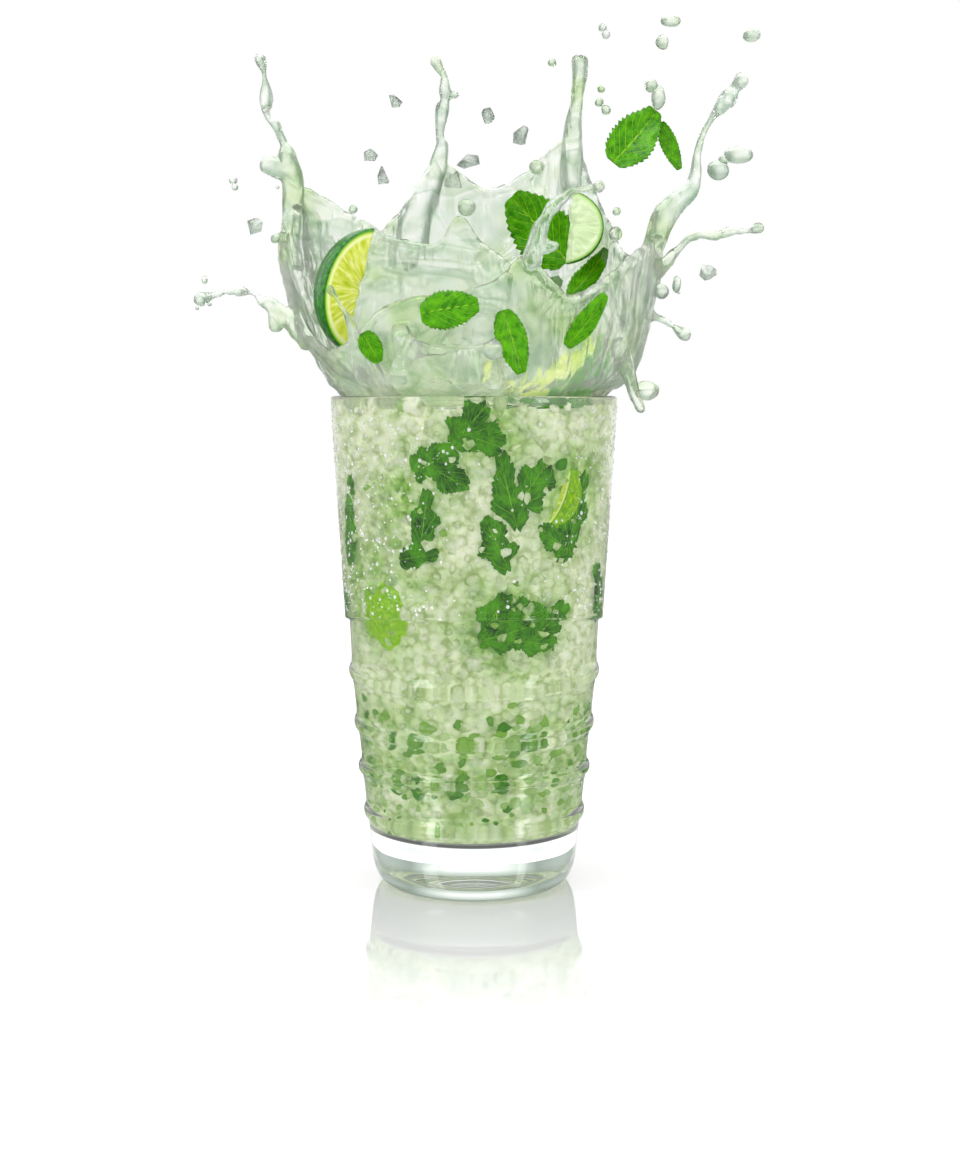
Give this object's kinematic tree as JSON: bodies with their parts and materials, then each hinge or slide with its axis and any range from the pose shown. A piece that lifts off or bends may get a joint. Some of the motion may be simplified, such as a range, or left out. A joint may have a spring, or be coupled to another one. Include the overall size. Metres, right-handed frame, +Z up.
{
  "type": "mojito cocktail",
  "caption": "Tall pressed glass of iced lime and mint drink, caught as it splashes out of the rim in a crown with lime wedges, mint leaves and chips of ice.",
  "frame": {"origin": "centre of the glass's flat underside", "axes": "+Z up along the glass's axis, -Y towards the viewer of the picture"},
  "size_m": [0.1667, 0.1063, 0.2562],
  "materials": {
    "clear_glass": "clear pressed glass, misted by the cold drink",
    "iced_drink": "wet, milky pale green",
    "lime": "waxy green rind with wet yellow-green flesh",
    "mint": "wet green leaf with sunken veins",
    "ice": "clear wet crushed ice"
  },
  "bodies": {
    "root": {"glass": "clear_glass", "drink": "iced_drink", "lime_wedge_left": "lime", "lime_wedge_front": "lime", "lime_wedge_back": "lime", "mint_leaf_back": "mint", "mint_leaf_right": "mint", "mint_leaf_right_low": "mint", "mint_leaf_middle": "mint", "mint_leaf_centre": "mint", "mint_leaf_small": "mint", "mint_leaf_front_right": "mint", "mint_sprig_leaf": "mint", "mint_sprig_narrow_leaf": "mint", "ice_chip_1": "ice", "ice_chip_2": "ice", "ice_chip_3": "ice", "ice_chip_4": "ice", "ice_chip_5": "ice", "ice_chip_6": "ice", "ice_chip_7": "ice", "ice_chip_8": "ice", "ice_chip_9": "ice"}
  },
  "joints": []
}
